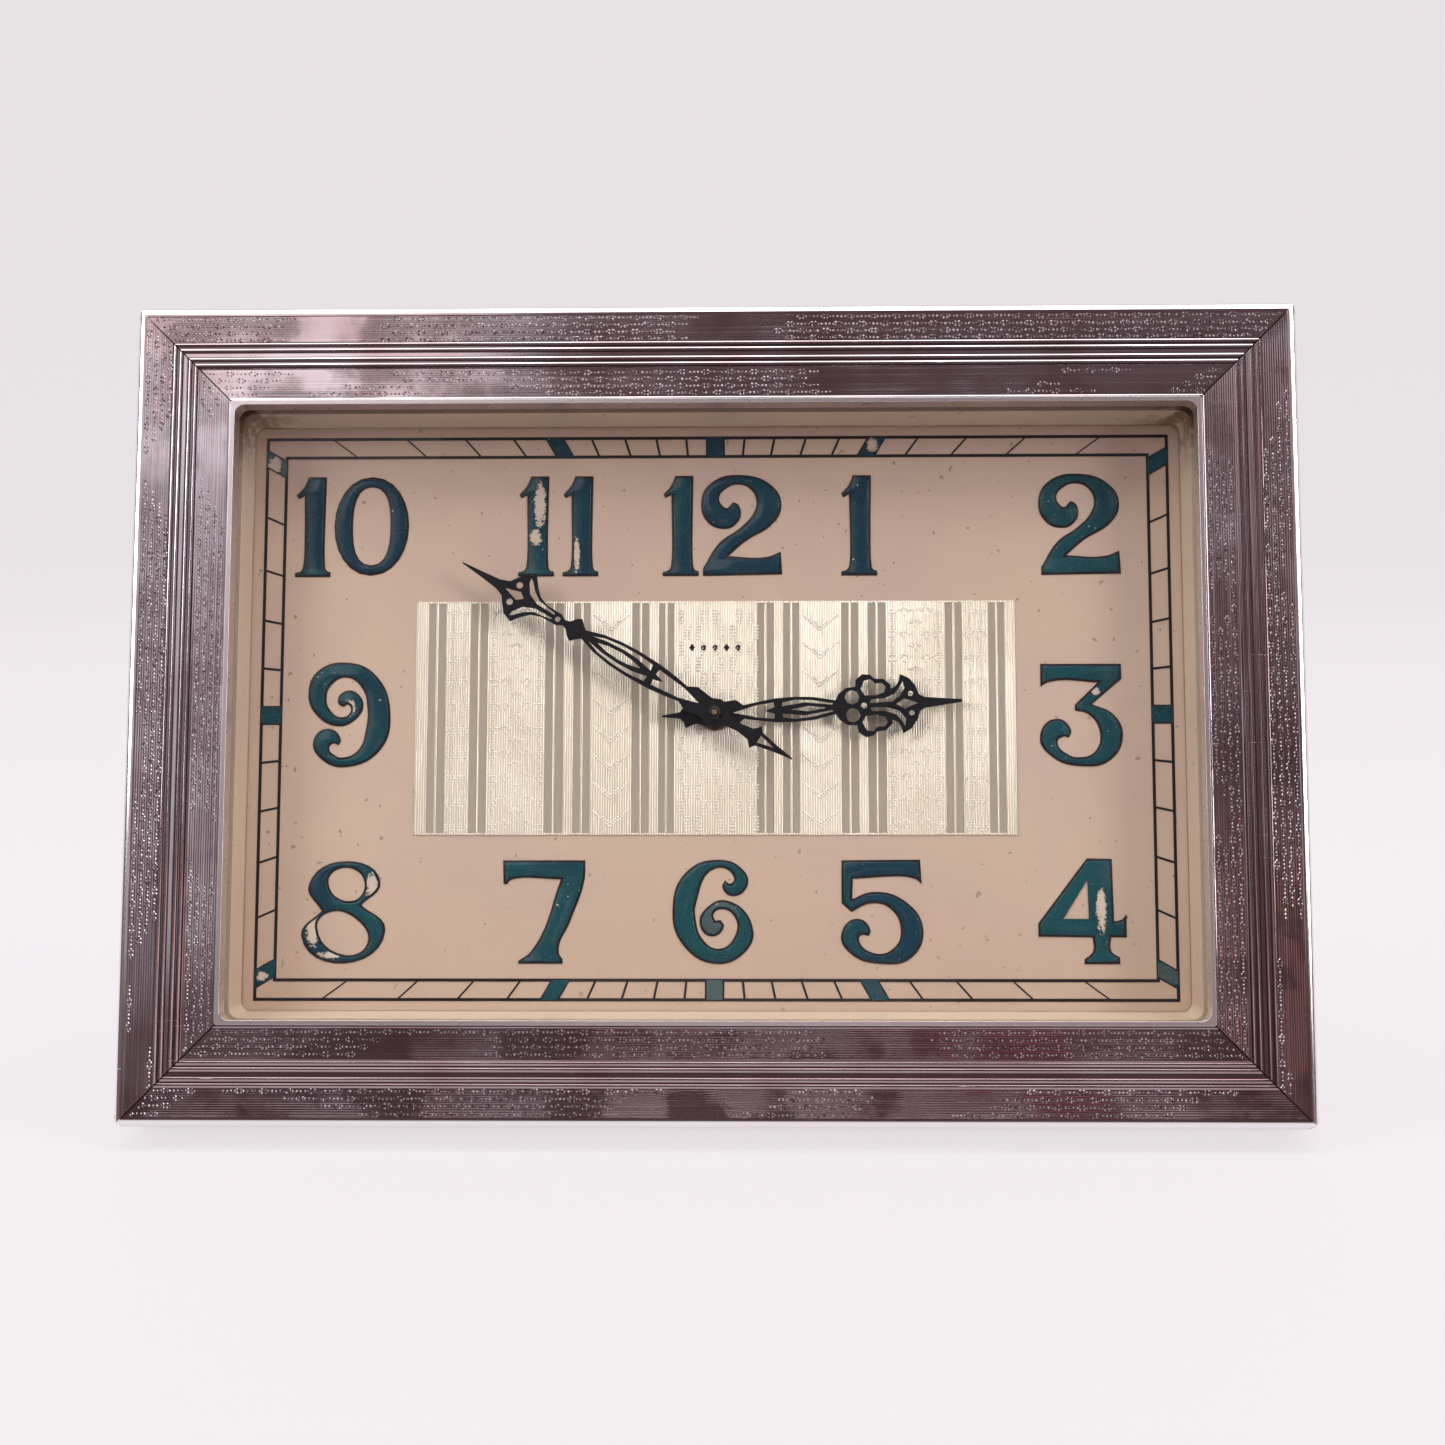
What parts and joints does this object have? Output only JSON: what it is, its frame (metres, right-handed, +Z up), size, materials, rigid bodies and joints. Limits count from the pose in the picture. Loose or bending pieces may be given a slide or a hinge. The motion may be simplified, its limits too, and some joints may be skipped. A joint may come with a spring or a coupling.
{
  "type": "mantel clock",
  "caption": "Rectangular Art Deco desk and mantel clock: engine-turned silver frame, silvered dial with enamelled numerals, pierced hands, wooden case back and folding easel strut.",
  "frame": {"origin": "on the table under the middle of the standing clock's bounding box", "axes": "+X to the right as the dial is read, +Y from the dial towards the back, +Z up; the dial faces -Y and leans back 12 degrees"},
  "size_m": [0.18, 0.0686, 0.1269],
  "materials": {
    "silver": "polished, engine turned, lightly tarnished and scratched",
    "silvered_dial": "matt champagne silvering, lacquered, slightly stained",
    "glass": "clear, flat, polished",
    "walnut": "dark polished walnut",
    "brass": "brushed and lacquered, mellow",
    "steel": "fine ground",
    "blued_steel": "blued almost to black",
    "enamel": "petrol-blue fired enamel, chipped, with black outline",
    "felt": "thin dark felt"
  },
  "bodies": {
    "root": {"rail_top": "silver", "rail_bottom": "silver", "rail_left": "silver", "rail_right": "silver", "case_strip_top": "walnut", "case_strip_bottom": "walnut", "case_strip_left": "walnut", "case_strip_right": "walnut", "back_board": "walnut", "back_screw_1": "brass", "back_screw_2": "brass", "back_screw_3": "brass", "back_screw_4": "brass", "sight_bezel": "silver", "glass": "glass", "dial_surround": "silvered_dial", "dial_plate": "silvered_dial", "front_plate": "brass", "back_plate": "brass", "plate_pillar_1": "brass", "plate_pillar_2": "brass", "plate_pillar_3": "brass", "plate_pillar_4": "brass", "balance_cock": "brass", "hairspring": "blued_steel", "click_spring": "steel", "movement_cap": "brass", "cap_screw_1": "brass", "cap_screw_2": "brass", "cap_screw_3": "brass", "hinge_case_leaf": "brass", "hinge_pin": "steel"},
    "strut_leg": {"strut": "walnut", "strut_foot": "felt", "hinge_strut_leaf": "brass"},
    "minute_hand_body": {"minute_hand": "blued_steel", "hand_collet": "blued_steel", "cannon_pinion": "steel"},
    "hour_hand_body": {"hour_hand": "blued_steel", "hour_wheel": "brass"},
    "minute_wheel_body": {"minute_wheel": "brass"},
    "hand_set_body": {"set_arbor": "steel", "set_knob": "brass"},
    "third_wheel_body": {"third_wheel": "brass"},
    "centre_wheel_body": {"centre_wheel": "brass"},
    "intermediate_wheel_body": {"intermediate_wheel": "brass"},
    "going_barrel_body": {"barrel": "brass", "barrel_cover": "brass", "mainspring": "steel"},
    "fourth_wheel_body": {"fourth_wheel": "brass"},
    "escape_wheel_body": {"escape_wheel": "steel"},
    "pallet_fork_body": {"pallet_fork": "steel"},
    "balance_body": {"balance_wheel": "brass"},
    "regulator_body": {"regulator_index": "steel"},
    "winding_body": {"barrel_arbor": "steel", "ratchet_wheel": "steel", "winding_key": "brass"},
    "key_wing_body": {"key_wing": "brass"},
    "click_body": {"click": "steel"}
  },
  "joints": [
    {"name": "minute_hand_turn", "type": "hinge", "parent": "root", "child": "minute_hand_body", "pos_m": [0, -0.00186, 0.06124], "axis": [0, 0.9781, -0.2079], "continuous": true},
    {"name": "hour_hand_turn", "type": "hinge", "parent": "root", "child": "hour_hand_body", "pos_m": [0, -0.00186, 0.06124], "axis": [0, 0.9781, -0.2079], "continuous": true},
    {"name": "minute_wheel_turn", "type": "hinge", "parent": "root", "child": "minute_wheel_body", "pos_m": [0.00312, -0.00299, 0.05596], "axis": [0, 0.9781, -0.2079], "continuous": true},
    {"name": "hand_set_turn", "type": "hinge", "parent": "root", "child": "hand_set_body", "pos_m": [0.00874, -0.00341, 0.05396], "axis": [0, 0.9781, -0.2079], "continuous": true},
    {"name": "third_wheel_turn", "type": "hinge", "parent": "root", "child": "third_wheel_body", "pos_m": [0.00744, -0.0013, 0.06389], "axis": [0, 0.9781, -0.2079], "continuous": true},
    {"name": "centre_wheel_turn", "type": "hinge", "parent": "root", "child": "centre_wheel_body", "pos_m": [0, -0.00186, 0.06124], "axis": [0, 0.9781, -0.2079], "continuous": true},
    {"name": "intermediate_wheel_turn", "type": "hinge", "parent": "root", "child": "intermediate_wheel_body", "pos_m": [-0.00784, -0.00111, 0.06479], "axis": [0, 0.9781, -0.2079], "continuous": true},
    {"name": "barrel_turn", "type": "hinge", "parent": "root", "child": "going_barrel_body", "pos_m": [-0.00813, -0.00355, 0.05329], "axis": [0, 0.9781, -0.2079], "continuous": true},
    {"name": "fourth_wheel_turn", "type": "hinge", "parent": "root", "child": "fourth_wheel_body", "pos_m": [0.00626, 0.00009, 0.07044], "axis": [0, 0.9781, -0.2079], "continuous": true},
    {"name": "escape_wheel_turn", "type": "hinge", "parent": "root", "child": "escape_wheel_body", "pos_m": [0.00068, 0.0003, 0.0714], "axis": [0, 0.9781, -0.2079], "continuous": true},
    {"name": "pallet_fork_rock", "type": "hinge", "parent": "root", "child": "pallet_fork_body", "pos_m": [-0.00224, 0.00052, 0.07244], "axis": [0, 0.9781, -0.2079], "range_deg": [-5, 5]},
    {"name": "balance_swing", "type": "hinge", "parent": "root", "child": "balance_body", "pos_m": [-0.00637, 0.00083, 0.07391], "axis": [0, 0.9781, -0.2079], "range_deg": [-220, 220], "stiffness_Nm_per_rad": 0.0000035},
    {"name": "regulator_turn", "type": "hinge", "parent": "root", "child": "regulator_body", "pos_m": [-0.00637, 0.00083, 0.07391], "axis": [0, 0.9781, -0.2079], "range_deg": [-20, 20]},
    {"name": "winding_turn", "type": "hinge", "parent": "root", "child": "winding_body", "pos_m": [-0.00813, -0.00355, 0.05329], "axis": [0, 0.9781, -0.2079], "continuous": true},
    {"name": "key_wing_fold", "type": "hinge", "parent": "winding_body", "child": "key_wing_body", "pos_m": [-0.00813, 0.01092, 0.05021], "axis": [1, 0, 0], "range_deg": [0, 180]},
    {"name": "click_rock", "type": "hinge", "parent": "root", "child": "click_body", "pos_m": [-0.00073, -0.00355, 0.05329], "axis": [0, 0.9781, -0.2079], "range_deg": [0, 12], "stiffness_Nm_per_rad": 0.001},
    {"name": "strut_fold", "type": "hinge", "parent": "root", "child": "strut_leg", "pos_m": [0, 0.00887, 0.10599], "axis": [-1, 0, 0], "range_deg": [0, 24.5]}
  ],
  "couplings": [
    {"joint": "hour_hand_turn", "follows": "minute_hand_turn", "ratio": 0.083333},
    {"joint": "minute_wheel_turn", "follows": "minute_hand_turn", "ratio": -0.33333},
    {"joint": "hand_set_turn", "follows": "minute_hand_turn", "ratio": 1.2},
    {"joint": "centre_wheel_turn", "follows": "third_wheel_turn", "ratio": -0.125},
    {"joint": "intermediate_wheel_turn", "follows": "third_wheel_turn", "ratio": 0.025},
    {"joint": "barrel_turn", "follows": "third_wheel_turn", "ratio": -0.0041667},
    {"joint": "fourth_wheel_turn", "follows": "third_wheel_turn", "ratio": -7.5},
    {"joint": "escape_wheel_turn", "follows": "third_wheel_turn", "ratio": 60}
  ]
}
